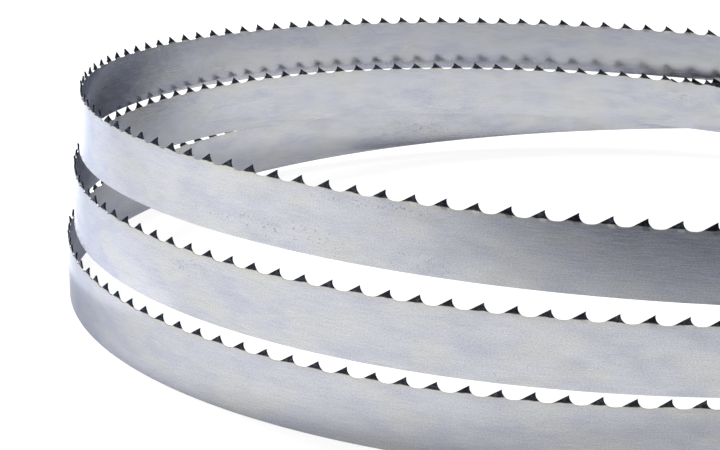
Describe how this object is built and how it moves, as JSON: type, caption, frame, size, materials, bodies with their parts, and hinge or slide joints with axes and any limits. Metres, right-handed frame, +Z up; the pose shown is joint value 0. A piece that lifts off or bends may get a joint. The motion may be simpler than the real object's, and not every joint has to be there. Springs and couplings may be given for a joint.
{
  "type": "band saw blade",
  "caption": "Endless toothed steel band for a band saw, coiled in stacked turns and lying on its back edge with the teeth up.",
  "frame": {"origin": "middle of the coil's outline, on the floor that the back edge lies on", "axes": "+Z up, towards the teeth; -Y towards the side that the picture shows; +X to the right of it, where the turns cross"},
  "size_m": [0.3741, 0.369, 0.0672],
  "materials": {
    "steel": "satin"
  },
  "bodies": {
    "root": {"blade": "steel"}
  },
  "joints": []
}
